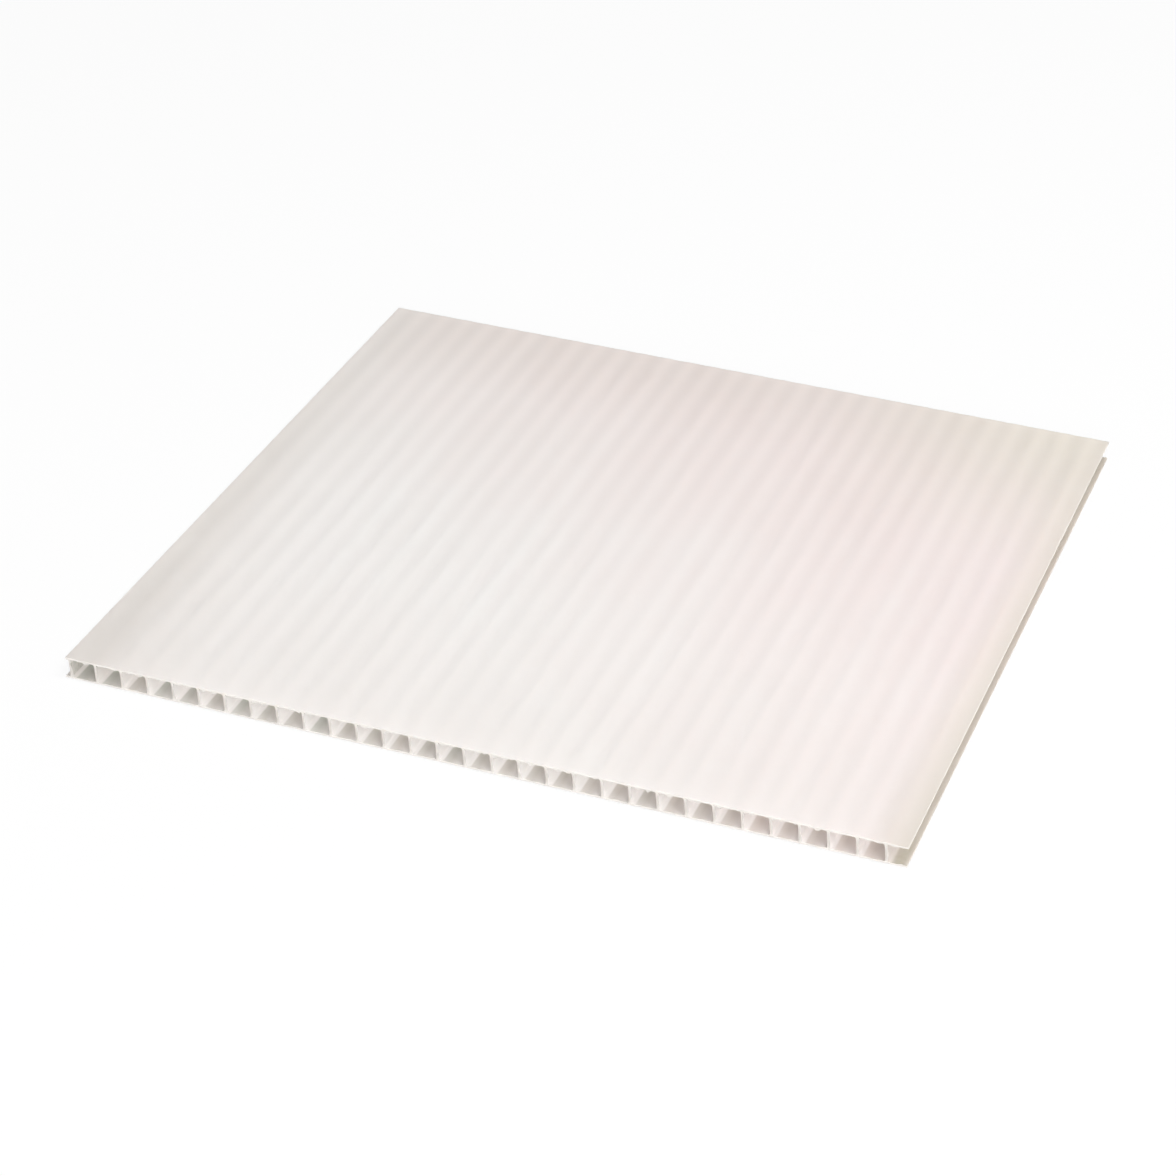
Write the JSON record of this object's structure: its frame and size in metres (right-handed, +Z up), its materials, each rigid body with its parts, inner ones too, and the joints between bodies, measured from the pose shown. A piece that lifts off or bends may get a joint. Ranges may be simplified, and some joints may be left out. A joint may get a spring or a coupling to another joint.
{
  "type": "multiwall polycarbonate sheet",
  "caption": "Flat square twin-wall glazing sheet in translucent white plastic, thin skins joined by upright ribs that leave straight flutes open at the cut ends.",
  "frame": {"origin": "centre of the underside", "axes": "+Z up through the thickness, +Y along the flutes to the back cut end, +X across the ribs to the open side edge"},
  "size_m": [0.3048, 0.3048, 0.008],
  "materials": {
    "opal_polycarbonate": "smooth extruded surface with a soft gloss, translucent opal white"
  },
  "bodies": {
    "root": {"multiwall_sheet": "opal_polycarbonate"}
  },
  "joints": []
}
